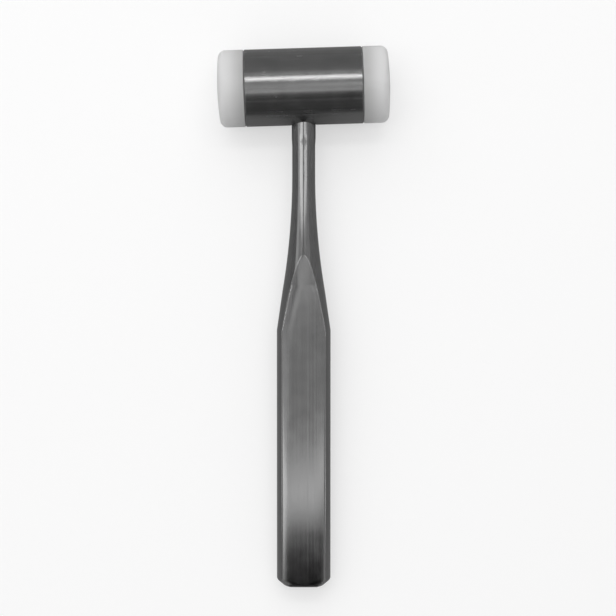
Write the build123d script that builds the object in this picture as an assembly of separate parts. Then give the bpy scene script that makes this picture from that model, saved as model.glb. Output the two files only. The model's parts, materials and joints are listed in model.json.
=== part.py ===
from build123d import *
import math
import os

# A surgical mallet: a turned steel head with a screw-in nylon face at each end, on a steel
# handle that is turned in one piece and milled flat on two sides of its grip. Millimetres.
#
# It is drawn on the bench, with the head's centre at the origin, the head along X and the handle
# along -Y, but for a small lean. Then it is laid down as it comes to rest on a table: the head's
# round side and the lower edge of the butt touch z = 0, so the handle slopes down from the head
# by a few degrees.

# The head's body
head_diameter = 26.0
body_length = 40.0
body_edge_chamfer = 0.4

# A nylon face: a slightly domed disc as wide as the head, with a threaded spigot behind it
face_length = 9.2
face_dome_radius = 100.0
face_edge_radius = 2.5
face_seat_chamfer = 0.3

# The faces' thread, M14 x 1.5, drawn plain at its mean diameter
spigot_diameter = 13.0
spigot_length = 9.0
spigot_tip_chamfer = 1.0
spigot_relief_length = 1.6
spigot_relief_depth = 0.9
thread_clearance = 0.2
socket_spare_depth = 1.0
socket_mouth_chamfer = 0.9
drill_point_angle = 118.0

# The handle. Distances along it are counted from the head's axis.
handle_reach = 170.0
neck_seat_diameter = 8.1
neck_seat_reach = 17.4
neck_diameter = 7.8
neck_start = 20.0
neck_end = 29.6
flare_radius = 238.0
flare_angle = 9.6
grip_diameter = 18.3
flat_thickness = 11.0
flat_edge_radius = 1.0
butt_chamfer_width = 2.6
butt_chamfer_length = 2.2
butt_edge_radius = 1.5

# Where the handle is held: the neck stands in a counterbore in the head's side, and an M6
# tenon, drawn plain, goes on into a blind tapped hole
neck_seat_depth = 2.0
neck_seat_chamfer = 0.6
neck_clearance = 0.05
neck_shoulder_chamfer = 0.3
tenon_diameter = 6.0
tenon_length = 11.0
tenon_tip_chamfer = 0.7
tenon_relief_length = 1.2
tenon_relief_depth = 0.5
tenon_clearance = 0.05
tenon_spare_depth = 1.0

# This mallet's handle stands a little out of square with its head, by this angle
handle_lean = 1.75

head_radius = head_diameter / 2
body_end = body_length / 2
shoulder = head_radius - neck_seat_depth


def drill_point(radius):
    """The length of the cone that a twist drill leaves at the end of a hole."""
    return radius / math.tan(math.radians(drill_point_angle / 2))


def turned(outline, axis):
    """The solid that a lathe makes from an outline drawn on one side of the axis."""
    return revolve(make_face(outline), axis=axis)


def rims(piece, axis):
    """The round edges of a turned piece, in their order along its axis."""
    return piece.edges().filter_by(lambda edge: edge.is_closed).sort_by(axis)


def striking_face():
    """One face, seated at x = 0 with its spigot towards -X."""
    core = spigot_diameter / 2
    relief = core - spigot_relief_depth
    rim = face_length - face_dome_radius + math.sqrt(face_dome_radius**2 - head_radius**2)
    back = Polyline(
        (face_length, 0),
        (-spigot_length, 0),
        (-spigot_length, core - spigot_tip_chamfer),
        (spigot_tip_chamfer - spigot_length, core),
        (-spigot_relief_length, core),
        (spigot_relief_depth - spigot_relief_length, relief),
        (0, relief),
        (0, head_radius - face_seat_chamfer),
        (face_seat_chamfer, head_radius),
        (rim, head_radius),
    )
    dome = TangentArc((face_length, 0), (rim, head_radius), tangent=(0, 1))
    face = turned(back + dome, Axis.X)
    return fillet(rims(face, Axis.X)[-1], face_edge_radius)


def face_socket():
    """What the drill and the tap take out of the head's end, with its mouth at x = 0."""
    bore = spigot_diameter / 2 + thread_clearance
    depth = spigot_length + socket_spare_depth
    outline = Polyline(
        (0, 0),
        (0, bore + socket_mouth_chamfer),
        (-socket_mouth_chamfer, bore),
        (-depth, bore),
        (-depth - drill_point(bore), 0),
        close=True,
    )
    return turned(outline, Axis.X)


def handle_socket():
    """What is taken out of the head's side: a flat-bottomed seat for the neck, and the blind
    tapped hole beyond it."""
    seat = neck_seat_diameter / 2 + neck_clearance
    hole = tenon_diameter / 2 + tenon_clearance
    end = tenon_length + tenon_spare_depth - shoulder
    outline = Polyline(
        (0, -head_diameter),
        (seat, -head_diameter),
        (seat, -shoulder),
        (hole, -shoulder),
        (hole, end),
        (0, end + drill_point(hole)),
        close=True,
    )
    return turned(outline, Axis.Y)


def leaning(piece):
    """A piece on the handle's axis, turned about the head's centre to where that axis runs."""
    return Rot(0, 0, -handle_lean) * piece


def head_body():
    """The steel cylinder, with a socket in each end and the handle's seat in its side."""
    body = Rot(0, 90, 0) * Cylinder(head_radius, body_length)
    body = chamfer(rims(body, Axis.X), body_edge_chamfer)
    body -= Pos(body_end, 0, 0) * face_socket()
    body -= Pos(-body_end, 0, 0) * Rot(0, 0, 180) * face_socket()
    body -= leaning(handle_socket())
    mouth = body.edges().filter_by(GeomType.BSPLINE).sort_by(Axis.Y)[0]
    return chamfer(mouth, neck_seat_chamfer)


def handle():
    """Tenon, neck, flare, grip and butt, turned from one bar and then milled flat on two
    sides. The mill runs out through the flare, where each flat ends in a pointed arch."""
    grip = grip_diameter / 2
    neck = neck_diameter / 2
    seat = neck_seat_diameter / 2
    tenon = tenon_diameter / 2
    relief = tenon - tenon_relief_depth
    tip = tenon_length - shoulder
    flare = JernArc((neck, -neck_end), (0, -1), flare_radius, flare_angle)
    cone_length = (grip - (flare @ 1).X) / math.tan(math.radians(flare_angle))
    upper = Polyline(
        (0, -handle_reach),
        (0, tip),
        (tenon - tenon_tip_chamfer, tip),
        (tenon, tip - tenon_tip_chamfer),
        (tenon, tenon_relief_length - shoulder),
        (relief, tenon_relief_length - tenon_relief_depth - shoulder),
        (relief, -shoulder),
        (seat - neck_shoulder_chamfer, -shoulder),
        (seat, -shoulder - neck_shoulder_chamfer),
        (seat, -neck_seat_reach),
        (neck, -neck_start),
        (neck, -neck_end),
    )
    lower = Polyline(
        flare @ 1,
        (grip, (flare @ 1).Y - cone_length),
        (grip, butt_chamfer_length - handle_reach),
        (grip - butt_chamfer_width, -handle_reach),
        (0, -handle_reach),
    )
    bar = turned(upper + flare + lower, Axis.Y)
    bar = fillet(rims(bar, Axis.Y)[:2], butt_edge_radius)
    milled = bar & Box(grip_diameter, 2 * handle_reach, flat_thickness)
    return fillet(milled.faces().filter_by(Axis.Z).edges(), flat_edge_radius)


def lying_down():
    """The move from the bench to the table. Seen from the side, the table is the line that
    touches the head's circle and the rounded lower edge of the butt."""
    along = (handle_reach - flat_edge_radius) * math.cos(math.radians(handle_lean))
    across = flat_thickness / 2 - flat_edge_radius
    drop = math.asin((head_radius - flat_edge_radius) / math.hypot(along, across))
    slope = math.degrees(drop - math.atan2(across, along))
    return Pos(0, 0, head_radius) * Rot(slope, 0, 0)


def pieces():
    """Every piece where it lies at rest, with the middle of the whole over the origin."""
    bench = {
        "head_body": head_body(),
        "left_face": Pos(-body_end, 0, 0) * Rot(0, 0, 180) * striking_face(),
        "right_face": Pos(body_end, 0, 0) * striking_face(),
        "handle": leaning(handle()),
    }
    laid = {name: lying_down() * piece for name, piece in bench.items()}
    boxes = [piece.bounding_box() for piece in laid.values()]
    front = min(box.min.Y for box in boxes)
    back = max(box.max.Y for box in boxes)
    centred = Pos(0, -(front + back) / 2, 0)
    return {name: centred * piece for name, piece in laid.items()}


def main():
    os.makedirs("parts", exist_ok=True)
    for name, piece in pieces().items():
        export_step(piece, f"parts/{name}.step")


main()
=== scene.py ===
import json
import math

import bmesh
import bpy
from mathutils import Matrix, Vector


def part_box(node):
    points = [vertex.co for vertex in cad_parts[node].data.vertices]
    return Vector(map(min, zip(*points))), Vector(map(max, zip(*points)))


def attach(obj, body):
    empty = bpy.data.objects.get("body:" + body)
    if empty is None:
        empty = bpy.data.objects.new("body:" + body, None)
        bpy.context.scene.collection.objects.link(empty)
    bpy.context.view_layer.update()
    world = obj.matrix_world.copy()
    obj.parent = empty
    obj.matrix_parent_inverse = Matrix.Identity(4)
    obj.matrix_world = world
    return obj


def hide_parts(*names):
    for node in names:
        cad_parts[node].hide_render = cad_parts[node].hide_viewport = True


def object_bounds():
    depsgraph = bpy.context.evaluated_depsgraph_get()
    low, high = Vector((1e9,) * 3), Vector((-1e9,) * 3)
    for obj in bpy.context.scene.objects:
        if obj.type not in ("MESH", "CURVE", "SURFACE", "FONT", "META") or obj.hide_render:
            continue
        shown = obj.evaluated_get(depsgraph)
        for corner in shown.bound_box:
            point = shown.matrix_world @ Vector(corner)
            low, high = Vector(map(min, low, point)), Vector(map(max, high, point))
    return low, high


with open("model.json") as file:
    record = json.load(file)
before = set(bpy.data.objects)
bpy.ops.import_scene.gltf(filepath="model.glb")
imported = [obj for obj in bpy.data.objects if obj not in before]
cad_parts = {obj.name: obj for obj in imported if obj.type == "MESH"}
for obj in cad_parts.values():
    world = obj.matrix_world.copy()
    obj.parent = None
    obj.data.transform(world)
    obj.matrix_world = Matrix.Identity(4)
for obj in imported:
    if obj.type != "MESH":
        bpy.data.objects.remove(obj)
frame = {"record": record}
cad_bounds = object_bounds()

# The head's body. A turned cylinder of stainless steel, brushed lengthwise, with a small
# chamfer round each end and a tapped M14 socket behind it for a face. The neck of the handle
# enters its side through a counterbore whose mouth is broken by a chamfer.
mm = 0.001
low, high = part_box("head_body")
head_centre = (low + high) / 2
head_radius = (high.z - low.z) / 2
body_end = (high.x - low.x) / 2
body_chamfer = 0.4 * mm
body_softness = 0.12 * mm
thread_pitch = 1.5 * mm
thread_depth = 0.85 * mm
crest_reach = 1 / 16
flank_reach = 3 / 8
socket_radius = 6.25 * mm
socket_depth = 10 * mm
socket_mouth = 7.6 * mm
drill_point = math.tan(math.radians(31))
seat_radius = 4.1 * mm
seat_chamfer = 0.6 * mm
seat_floor = 11 * mm
tenon_hole_radius = 3.05 * mm
tenon_hole_depth = 12 * mm
head_axis = Vector((1, 0, 0))
round_steps = 192
outline_gap = 1 * mm
ring_gap = thread_pitch / 16
hair = 0.01 * mm
same_point = 0.001 * mm
sharp_turn = math.radians(28)

# The mallet is drawn as on a bench, with the head along X and the handle along -Y, and laid
# down from there. The two flats of the grip tell how its handle slopes and leans.
flats = {m["name"]: Vector(m["pos_m"]) for m in frame["record"]["mounts"]}
upright = (flats["grip_flat_top"] - flats["grip_flat_under"]).normalized()
grip_middle = (flats["grip_flat_top"] + flats["grip_flat_under"]) / 2
handle_axis = (head_centre - grip_middle).normalized()
handle_lean = math.asin(handle_axis.x)


def laid(across, along):
    """The move from the bench to the floor, for a piece whose X and Y come to lie that way."""
    turn = Matrix((across, along, upright)).transposed()
    return Matrix.Translation(head_centre) @ turn.to_4x4()


on_head = laid(head_axis, upright.cross(head_axis))
on_handle = laid(handle_axis.cross(upright), handle_axis)


def rounded(corners, steps=6):
    """The points of an outline given by its corners, each (along, radius, rounding)."""
    points = []
    for i, (along, radius, rounding) in enumerate(corners):
        corner = Vector((along, radius))
        if not rounding:
            points.append(corner)
            continue
        before = (corner - Vector(corners[i - 1][:2])).normalized()
        after = (Vector(corners[i + 1][:2]) - corner).normalized()
        turn = math.atan2(before.x * after.y - before.y * after.x, before.dot(after))
        inward = Vector((-before.y, before.x)) * math.copysign(rounding, turn)
        start = corner - before * rounding * math.tan(abs(turn) / 2)
        for step in range(steps + 1):
            part = abs(turn) * step / steps
            points.append(
                start + before * rounding * math.sin(part) + inward * (1 - math.cos(part))
            )
    return points


def divided(points, spacing):
    """An outline with points added, so that each is at most a spacing from the next."""
    result = [points[0]]
    for before, after in zip(points, points[1:]):
        pieces = math.ceil((after - before).length / spacing)
        result += [before.lerp(after, i / pieces) for i in range(1, pieces + 1)]
    return result


def turned(outline, axis, steps):
    """A bmesh of what a lathe makes: the outline spun once about the axis."""
    bm = bmesh.new()
    side = Vector((0, 0, 1))
    verts = [bm.verts.new(axis * point.x + side * point.y) for point in outline]
    edges = [bm.edges.new(pair) for pair in zip(verts, verts[1:])]
    bmesh.ops.spin(
        bm,
        geom=verts + edges,
        cent=(0, 0, 0),
        axis=axis,
        angle=math.tau,
        steps=steps,
        use_merge=True,
    )
    bmesh.ops.remove_doubles(bm, verts=bm.verts, dist=same_point)
    bmesh.ops.recalc_face_normals(bm, faces=bm.faces)
    return bm


def made_object(name, bm):
    """An object in the scene with the mesh of a bmesh, which is used up."""
    mesh = bpy.data.meshes.new(name)
    bm.to_mesh(mesh)
    bm.free()
    obj = bpy.data.objects.new(name, mesh)
    bpy.context.scene.collection.objects.link(obj)
    return obj


def cut_away(bm, tool):
    """What is left of one bmesh where another is cut out of it."""
    block = made_object("block", bm)
    cutter = made_object("cutter", tool)
    cut = block.modifiers.new("cut", "BOOLEAN")
    cut.object = cutter
    cut.solver = "EXACT"
    left = bmesh.new()
    left.from_object(block, bpy.context.evaluated_depsgraph_get())
    bpy.data.objects.remove(block)
    bpy.data.objects.remove(cutter)
    return left


def finished(node, bm, place, body, slot, material):
    """The piece that stands for a CAD node, crisp only where its surface turns sharply."""
    bm.transform(place)
    for face in bm.faces:
        face.smooth = True
    for edge in bm.edges:
        edge.smooth = edge.calc_face_angle(0) < sharp_turn
    piece = made_object(f"{node}_{slot}", bm)
    piece.data.materials.clear()
    piece.data.materials.append(material)
    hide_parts(node)
    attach(piece, body)


def crest(point):
    """How high the ridge of a face's thread stands at a point: 0 in its root, 1 on its top.
    The top and the flanks reach that part of the pitch to each side of the ridge's middle."""
    turn = math.atan2(point.z, point.y) / math.tau
    off_ridge = abs((point.x / thread_pitch - turn) % 1 - 0.5)
    return min(max((flank_reach - off_ridge) / (flank_reach - crest_reach), 0), 1)


def move_out(vert, radius):
    """Moves a point of a piece on the X axis straight out, or in, to a radius."""
    factor = radius / math.hypot(vert.co.y, vert.co.z)
    vert.co.y *= factor
    vert.co.z *= factor


def linear(colour):
    """An sRGB hex colour as the linear colour that a shader takes."""
    parts = [int(colour[i : i + 2], 16) / 255 for i in (1, 3, 5)]
    return [c / 12.92 if c <= 0.04045 else ((c + 0.055) / 1.055) ** 2.4 for c in parts] + [1]


def add_node(tree, kind, inputs, **settings):
    """Adds a node. Each input is a value, or another node's output to link to it."""
    node = tree.nodes.new(kind)
    for name, value in settings.items():
        setattr(node, name, value)
    for name, value in inputs.items():
        if isinstance(value, bpy.types.NodeSocket):
            tree.links.new(value, node.inputs[name])
        else:
            node.inputs[name].default_value = value
    return node


def new_material(name):
    """A material without nodes, and its tree."""
    material = bpy.data.materials.new(name)
    material.use_nodes = True
    material.node_tree.nodes.clear()
    return material, material.node_tree


def bench_place(tree, place, sizes):
    """Where a point is on the bench, counted along each axis in a pattern's own sizes."""
    where = add_node(tree, "ShaderNodeTexCoord", {})
    return add_node(
        tree,
        "ShaderNodeMapping",
        {
            "Vector": where.outputs["Object"],
            "Location": place.translation,
            "Rotation": place.to_euler(),
            "Scale": sizes,
        },
        vector_type="TEXTURE",
    ).outputs[0]


cloud_size = 6 * mm
steel_dark = "#808080"
steel_light = "#9e9e9e"


def satin_steel(name, place, brushed, line_depth, smoothest, roughest):
    """Martensitic stainless steel, brushed with a fine belt: a neutral mid grey, whose
    reflections are drawn out into streaks across the brush lines and are a little cloudy
    where the belt pressed less. The lines are several times as coarse as real ones, which
    would be too fine to show."""
    material, tree = new_material(name)
    lines = add_node(
        tree,
        "ShaderNodeTexNoise",
        {"Vector": bench_place(tree, place, brushed), "Scale": 1, "Detail": 1},
    )
    clouds = add_node(
        tree,
        "ShaderNodeTexNoise",
        {"Vector": bench_place(tree, place, (cloud_size,) * 3), "Scale": 1, "Detail": 2},
    )
    both = add_node(
        tree,
        "ShaderNodeMix",
        {"Factor": 0.5, "A": lines.outputs[0], "B": clouds.outputs[0]},
    )
    colour = add_node(
        tree,
        "ShaderNodeMix",
        {"Factor": both.outputs["Result"], "A": linear(steel_dark), "B": linear(steel_light)},
        data_type="RGBA",
    )
    roughness = add_node(
        tree,
        "ShaderNodeMapRange",
        {"Value": both.outputs["Result"], "To Min": smoothest, "To Max": roughest},
    )
    relief = add_node(
        tree,
        "ShaderNodeBump",
        {"Height": lines.outputs[0], "Strength": 1, "Distance": line_depth},
    )
    shader = add_node(
        tree,
        "ShaderNodeBsdfPrincipled",
        {
            "Base Color": colour.outputs[2],
            "Metallic": 1,
            "Roughness": roughness.outputs[0],
            "Normal": relief.outputs[0],
        },
    )
    add_node(tree, "ShaderNodeOutputMaterial", {"Surface": shader.outputs[0]})
    return material


rim = rounded(
    [
        (0, head_radius, 0),
        (body_end - body_chamfer, head_radius, body_softness),
        (body_end, head_radius - body_chamfer, body_softness),
        (body_end, socket_mouth, 0),
    ]
)
bore = [
    Vector((body_end - ring_gap, socket_radius)),
    Vector((body_end - socket_depth, socket_radius)),
]
drill_tip = Vector((body_end - socket_depth - socket_radius * drill_point, 0))
right_half = divided(rim, outline_gap) + divided(bore, ring_gap) + [drill_tip]
left_half = [Vector((-point.x, point.y)) for point in reversed(right_half[1:])]
body = turned(left_half + right_half, head_axis, round_steps)

# The tap cuts its thread into both bores: the left socket is the right one turned half round
for vert in body.verts:
    inset = body_end - abs(vert.co.x)
    bored = 0 < math.hypot(vert.co.y, vert.co.z) < socket_radius + hair
    if bored and inset < socket_depth - thread_pitch / 2:
        right_handed = Vector(vert.co) if vert.co.x > 0 else Vector((-1, -1, 1)) * vert.co
        threaded = socket_radius + thread_depth * crest(right_handed)
        move_out(vert, max(threaded, socket_mouth - inset))

# The cutter that makes the handle's seat follows the head's round side at its mouth
mouth_outside = seat_radius + 3 * seat_chamfer
hole_end = tenon_hole_depth - seat_floor
seat_cutter = turned(
    [
        Vector((hole_end + tenon_hole_radius * drill_point, 0)),
        Vector((hole_end, tenon_hole_radius)),
        Vector((-seat_floor, tenon_hole_radius)),
        Vector((-seat_floor, seat_radius)),
        Vector((seat_chamfer - head_radius, seat_radius)),
        Vector((-head_radius, seat_radius + seat_chamfer)),
        Vector((-2 * seat_chamfer - head_radius, mouth_outside)),
        Vector((-2 * head_radius, mouth_outside)),
        Vector((-2 * head_radius, 0)),
    ],
    Vector((0, 1, 0)),
    round_steps,
)
for vert in seat_cutter.verts:
    if vert.co.y < -seat_floor - 0.5 * seat_chamfer:
        round_side = math.sqrt(head_radius**2 - vert.co.z**2) / math.cos(handle_lean)
        vert.co.y += head_radius - round_side + vert.co.x * math.tan(handle_lean)
seat_cutter.transform(Matrix.Rotation(-handle_lean, 4, "Z"))
body = cut_away(body, seat_cutter)
head_steel = satin_steel(
    "brushed stainless steel of the head",
    on_head,
    brushed=(200 * mm, 0.7 * mm, 0.7 * mm),
    line_depth=0.004 * mm,
    smoothest=0.14,
    roughest=0.34,
)
finished("head_body", body, on_head, "mallet", "steel", head_steel)

# The faces. Each is a slightly domed disc of white nylon, as wide as the head, turned in one
# with a threaded spigot that screws into the head until the disc seats on the steel. Both are
# the same piece: the left one is the right one turned half round.
face_length = 9.2 * mm
face_dome = 100 * mm
face_edge = 2.5 * mm
face_seat_chamfer = 0.3 * mm
face_seat_softness = 0.1 * mm
spigot_length = 9 * mm
spigot_radius = 6.1 * mm
spigot_tip = 5.5 * mm
relief_length = 1.6 * mm
relief_radius = 5.6 * mm
screw_ring_gap = thread_pitch / 24
nylon_colour = "#d4d4d4"
# Painted shade: the grey that the nylon's colour turns to where it meets the steel
nylon_painted_shade_by_steel = "#b4b4b4"
painted_shade_reach = 6 * mm
lathe_ring = 0.6 * mm


def arc(along, radius, size, start, end, steps):
    """The points of an arc about (along, radius), between two angles from the axis."""
    angles = [start + (end - start) * i / steps for i in range(steps + 1)]
    centre = Vector((along, radius))
    return [centre + size * Vector((math.cos(a), math.sin(a))) for a in angles]


def white_nylon():
    """Cast nylon, turned: milky white with a dull shine and faint rings from the lathe, drawn
    a few times as coarse as real ones so that they show. It lets a little light through, and
    towards the steel that it sits on its colour is painted greyer, as painted shade."""
    material, tree = new_material("turned white nylon")
    place = add_node(
        tree, "ShaderNodeSeparateXYZ", {0: bench_place(tree, on_head, (1, 1, 1))}
    )
    from_middle = add_node(
        tree, "ShaderNodeMath", {0: place.outputs["X"]}, operation="ABSOLUTE"
    ).outputs[0]
    # Painted shade: the colour greys over the last few millimetres towards the steel
    depth = add_node(
        tree,
        "ShaderNodeMapRange",
        {"Value": from_middle, "From Min": body_end, "From Max": body_end + painted_shade_reach},
        interpolation_type="SMOOTHSTEP",
    )
    colour = add_node(
        tree,
        "ShaderNodeMix",
        {"Factor": depth.outputs[0], "A": linear(nylon_painted_shade_by_steel), "B": linear(nylon_colour)},
        data_type="RGBA",
    )
    across = add_node(
        tree,
        "ShaderNodeCombineXYZ",
        {"X": place.outputs["Y"], "Y": place.outputs["Z"]},
    )
    radius = add_node(
        tree, "ShaderNodeVectorMath", {0: across.outputs[0]}, operation="LENGTH"
    )
    ring = add_node(
        tree, "ShaderNodeCombineXYZ", {"X": from_middle, "Y": radius.outputs["Value"]}
    )
    rings = add_node(
        tree,
        "ShaderNodeTexNoise",
        {"Vector": ring.outputs[0], "Scale": 1 / lathe_ring, "Detail": 3},
        noise_dimensions="2D",
    )
    roughness = add_node(
        tree, "ShaderNodeMapRange", {"Value": rings.outputs[0], "To Min": 0.34, "To Max": 0.5}
    )
    relief = add_node(
        tree,
        "ShaderNodeBump",
        {"Height": rings.outputs[0], "Strength": 1, "Distance": 0.008 * mm},
    )
    shader = add_node(
        tree,
        "ShaderNodeBsdfPrincipled",
        {
            "Base Color": colour.outputs[2],
            "Roughness": roughness.outputs[0],
            "IOR": 1.53,
            "Normal": relief.outputs[0],
            "Subsurface Weight": 1,
            "Subsurface Radius": (1, 1, 1),
            "Subsurface Scale": 2 * mm,
        },
    )
    add_node(tree, "ShaderNodeOutputMaterial", {"Surface": shader.outputs[0]})
    return material


nylon = white_nylon()
edge_height = head_radius - face_edge
edge_turn = math.asin(edge_height / (face_dome - face_edge))
edge_place = face_length - face_dome + (face_dome - face_edge) * math.cos(edge_turn)
dome_place = face_length - face_dome
dome = arc(body_end + edge_place, edge_height, face_edge, math.pi / 2, edge_turn, steps=16)
dome += divided(
    arc(body_end + dome_place, 0, face_dome, edge_turn, 0, steps=14)[1:], outline_gap
)
disc = rounded(
    [
        (body_end - relief_length + (spigot_radius - relief_radius), relief_radius, 0),
        (body_end, relief_radius, 0),
        (body_end, head_radius - face_seat_chamfer, face_seat_softness),
        (body_end + face_seat_chamfer, head_radius, face_seat_softness),
        (body_end + edge_place, head_radius, 0),
    ]
)
thread_start = body_end - spigot_length
face_outline = [Vector((thread_start, 0))]
face_outline += divided(
    [Vector((thread_start, spigot_radius)), Vector((body_end - relief_length, spigot_radius))],
    screw_ring_gap,
)
face_outline += divided(disc, outline_gap)[:-1] + dome
for node, place in (
    ("right_face", on_head),
    ("left_face", on_head @ Matrix.Rotation(math.pi, 4, "Z")),
):
    face = turned(face_outline, head_axis, round_steps)
    for vert in face.verts:
        from_tip = vert.co.x - thread_start
        on_screw = from_tip < spigot_length - relief_length + hair
        if on_screw and math.hypot(vert.co.y, vert.co.z) > 0:
            threaded = spigot_radius + thread_depth * crest(vert.co)
            move_out(vert, min(threaded, spigot_tip + from_tip))
    finished(node, face, place, node, "nylon", nylon)

# The handle. One bar of stainless steel, turned with a tenon, a slim neck, a flare and a round
# grip with a chamfered butt, and then milled flat on two sides. Each flat runs out through the
# flare in a pointed arch. The whole is brushed lengthwise, which rounds the flats' edges over.
reach = 170 * mm
tenon_radius = 3 * mm
tenon_chamfer = 0.7 * mm
shoulder_chamfer = 0.3 * mm
neck_seat = 4.05 * mm
neck_seat_end = 17.4 * mm
neck_radius = 3.9 * mm
neck_start = 20 * mm
neck_end = 29.6 * mm
flare_radius = 238 * mm
flare_angle = math.radians(9.6)
grip_radius = 9.15 * mm
flat_height = (flats["grip_flat_top"] - flats["grip_flat_under"]).length / 2
flat_rounding = 1 * mm
butt_radius = 6.55 * mm
butt_chamfer = 2.2 * mm
butt_softness = 1.5 * mm
butt_flat = flat_height - 1.1 * flat_rounding
butt_middle = 2 * mm
edge_rounding = 0.35 * mm
edge_roll = 4 * mm
edge_drop = 0.22 * mm
handle_round_steps = 420
flare_start = -math.pi / 2
steps_before_arch = 24

flare = arc(
    -neck_end,
    neck_radius + flare_radius,
    flare_radius,
    flare_start,
    flare_start - flare_angle,
    steps=52,
)
cone_end = flare[-1].x - (grip_radius - flare[-1].y) / math.tan(flare_angle)
grip_start = cone_end - 2 * mm
stem = rounded(
    [
        (0, 0, 0),
        (0, tenon_radius - tenon_chamfer, 0),
        (-tenon_chamfer, tenon_radius, 0),
        (-seat_floor, tenon_radius, 0),
        (-seat_floor, neck_seat - shoulder_chamfer, 0),
        (-seat_floor - shoulder_chamfer, neck_seat, 0),
        (-neck_seat_end, neck_seat, 0),
        (-neck_start, neck_radius, 0),
        (-neck_end, neck_radius, 0),
    ]
)
butt = rounded(
    [
        (grip_start, grip_radius, 0),
        (butt_chamfer - reach, grip_radius, butt_softness),
        (-reach, butt_radius, butt_softness),
        (-reach, butt_flat, 0),
    ],
    steps=10,
)

# The outline's points stand closest where the flats' arches and the butt's edges will be cut
arches = flare[steps_before_arch:] + [Vector((grip_start, grip_radius))]
handle_outline = divided(stem, 2 * mm)[:-1] + flare[:steps_before_arch]
handle_outline += divided(arches, 0.4 * mm)
handle_outline += divided(butt[:2], 3 * mm)[1:] + divided(butt[1:-1], 0.2 * mm)[1:]
handle_outline += [butt[-1], Vector((-reach, butt_middle)), Vector((-reach, 0))]
handle = turned(handle_outline, Vector((0, 1, 0)), handle_round_steps)

# The mill takes each point that stands outside a flat in towards the handle's axis, as far as
# the flat or the rounding along its edge. The flats round over at the butt too, and then the
# belt makes them fall away a little, from edge_roll inside their edges outwards.
for vert in handle.verts:
    from_butt = min(max(vert.co.y + reach, 0), flat_rounding)
    worn = flat_rounding - math.sqrt(flat_rounding**2 - (flat_rounding - from_butt) ** 2)
    height = flat_height - worn
    radius = math.hypot(vert.co.x, vert.co.z)
    if radius <= height:
        continue
    inside = radius - edge_rounding
    edge_x = math.sqrt(inside**2 - (height - edge_rounding) ** 2)
    angle = math.atan2(abs(vert.co.z), abs(vert.co.x))
    off = angle - math.atan2(height - edge_rounding, edge_x)
    if off <= 0:
        continue
    if angle >= math.atan2(height, edge_x):
        milled = height / math.sin(angle)
    else:
        rounding = math.sqrt(edge_rounding**2 - (inside * math.sin(off)) ** 2)
        milled = inside * math.cos(off) + rounding
    vert.co.x *= milled / radius
    vert.co.z *= milled / radius
    rolled = max(abs(vert.co.x) - max(edge_x - edge_roll, 0), 0)
    vert.co.z *= 1 - edge_drop / flat_height * (rolled / edge_roll) ** 2
handle_steel = satin_steel(
    "brushed stainless steel of the handle",
    on_handle,
    brushed=(0.4 * mm, 200 * mm, 0.4 * mm),
    line_depth=0.003 * mm,
    smoothest=0.06,
    roughest=0.2,
)
finished("handle", handle, on_handle, "mallet", "steel", handle_steel)

# The camera looks straight down from about 64 cm above the floor, as in the photograph. It is
# turned with the handle, and the middle of its picture is on the grip's upper end.
camera_height = 639 * mm
picture_middle = Vector((1.46 * mm, -75 * mm, 0))
camera = bpy.data.objects.new("camera", bpy.data.cameras.new("camera"))
camera.data.lens = 108
camera.data.clip_start = 10 * mm
camera.location = head_centre + Matrix.Rotation(-handle_lean, 3, "Z") @ picture_middle
camera.location.z = camera_height
camera.rotation_euler.z = -handle_lean
bpy.context.scene.collection.objects.link(camera)
bpy.context.scene.camera = camera
bpy.context.scene.view_settings.view_transform = "Standard"

# The studio. A pale floor under an even surround, one big soft lamp above, and smaller ones
# that show as highlights on the metal. Grey flags stand round and above the mallet, and the
# metal alone sees them. All of this is in metres.
surround_colour = "#b6b6b6"
floor_colour = "#f7f7f7"
floor_size = 6
floor_drop = 0.02 * mm
plain_share = 0.5
lamp_power = 4
flag_distance = 0.33
quarter_turn = math.pi / 2
world = bpy.data.worlds.new("surround")
world.use_nodes = True
world.node_tree.nodes["Background"].inputs["Color"].default_value = linear(surround_colour)
bpy.context.scene.world = world


def card(name, place, width, depth, colour):
    """A flat matt card of the studio."""
    material, tree = new_material(name)
    shader = add_node(tree, "ShaderNodeBsdfDiffuse", {"Color": linear(colour)})
    add_node(tree, "ShaderNodeOutputMaterial", {"Surface": shader.outputs[0]})
    bm = bmesh.new()
    bmesh.ops.create_grid(bm, size=0.5)
    bmesh.ops.scale(bm, verts=bm.verts, vec=(width, depth, 1))
    bm.transform(place)
    obj = made_object(name, bm)
    obj.data.materials.append(material)
    return obj


def lamp(name, centre, width, depth, brightness):
    """A flat lamp that faces the mallet. At a brightness of 1 it has lamp_power watts for each
    square metre."""
    light = bpy.data.lights.new(name, "AREA")
    light.shape = "RECTANGLE"
    light.size = width
    light.size_y = depth
    light.energy = lamp_power * width * depth * brightness
    obj = bpy.data.objects.new(name, light)
    obj.location = centre
    obj.rotation_euler = (Vector(centre) - head_centre).to_track_quat("Z", "Y").to_euler()
    obj.visible_camera = False
    bpy.context.scene.collection.objects.link(obj)
    return obj


# To the camera and to mirrored rays the floor is partly plain white, so that it looks white
# all over and still keeps a soft shadow under the mallet.
floor_place = Matrix.Translation((0, 0, cad_bounds[0].z - floor_drop))
floor = card("floor", floor_place, floor_size, floor_size, floor_colour)
floor_tree = floor.active_material.node_tree
rays = add_node(floor_tree, "ShaderNodeLightPath", {}).outputs
mirrored = add_node(
    floor_tree,
    "ShaderNodeMath",
    {0: rays["Is Glossy Ray"], 1: rays["Is Transmission Ray"]},
    operation="ADD",
)
shown = add_node(
    floor_tree,
    "ShaderNodeMath",
    {0: rays["Is Camera Ray"], 1: mirrored.outputs[0]},
    operation="ADD",
)
whitened = add_node(
    floor_tree, "ShaderNodeMath", {0: shown.outputs[0], 1: plain_share}, operation="MULTIPLY"
)
lit = floor_tree.nodes["Diffuse BSDF"].outputs[0]
white = add_node(floor_tree, "ShaderNodeEmission", {"Color": linear("#ffffff")})
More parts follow.
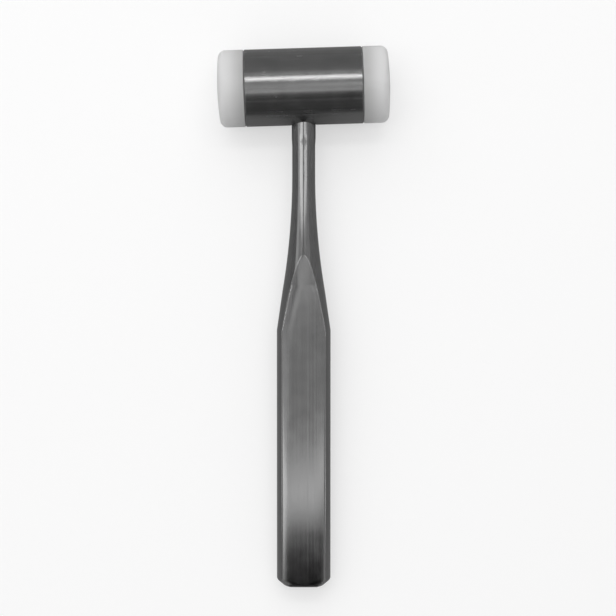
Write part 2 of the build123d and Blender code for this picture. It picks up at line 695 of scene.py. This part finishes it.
floor_shader = add_node(
    floor_tree, "ShaderNodeMixShader", {0: whitened.outputs[0], 1: lit, 2: white.outputs[0]}
)
floor_output = floor_tree.nodes["Material Output"]
floor_tree.links.new(floor_shader.outputs[0], floor_output.inputs["Surface"])

soft_lamp = lamp("soft lamp", (-0.2, 0.9, 1.5), 2.4, 2.4, 0.84)
soft_lamp.visible_glossy = False
for name, centre, width, depth, brightness in (
    ("strip lamp", (0, 0.296, 0.61), 0.4, 0.045, 5.8),
    ("head lamp", (0.02, -0.018, 0.62), 0.2, 0.04, 0.45),
    ("front lamp", (0.02, -0.27, 1.1), 0.46, 0.06, 0.93),
    ("front left lamp", (-0.155, -0.15, 0.55), 0.11, 0.068, 0.95),
    ("near left lamp", (-0.15, -0.11, 0.56), 0.11, 0.14, 0.2),
    ("left lamp", (-0.252, 0.05, 0.62), 0.1, 0.4, 1.25),
    ("far left lamp", (-0.62, 0.05, 0.5), 0.4, 0.4, 0.3),
    ("right lamp", (0.154, 0.05, 0.62), 0.055, 0.4, 1.1),
):
    lamp(name, centre, width, depth, brightness)


def standing(turn, height):
    """The place of a flag that stands at one side of the mallet: 0 is behind the head."""
    upright_card = Matrix.Rotation(quarter_turn, 4, "X")
    behind = Matrix.Translation((0, flag_distance, height / 2))
    return Matrix.Rotation(turn, 4, "Z") @ behind @ upright_card


for name, place, width, depth, colour in (
    ("floor cloth", Matrix.Translation((0, 0, 0.2 * mm)), 0.66, 0.66, "#989898"),
    ("back flag", standing(0, 0.32), 0.4, 0.32, "#ababab"),
    ("left flag", standing(quarter_turn, 0.22), 0.4, 0.22, "#9f9f9f"),
    ("front flag", standing(2 * quarter_turn, 0.4), 0.2, 0.4, "#505050"),
    ("right flag", standing(-quarter_turn, 0.32), 0.4, 0.32, "#a4a4a4"),
    ("top flag", Matrix.Translation((0, -0.34, 0.58)), 0.24, 0.31, "#242424"),
    ("middle flag", Matrix.Translation((0, 0.085, 0.66)), 0.2, 0.25, "#a6a6a6"),
):
    flag = card(name, place, width, depth, colour)
    flag.visible_camera = False
    flag.visible_diffuse = False
    flag.visible_transmission = False
    flag.visible_shadow = False
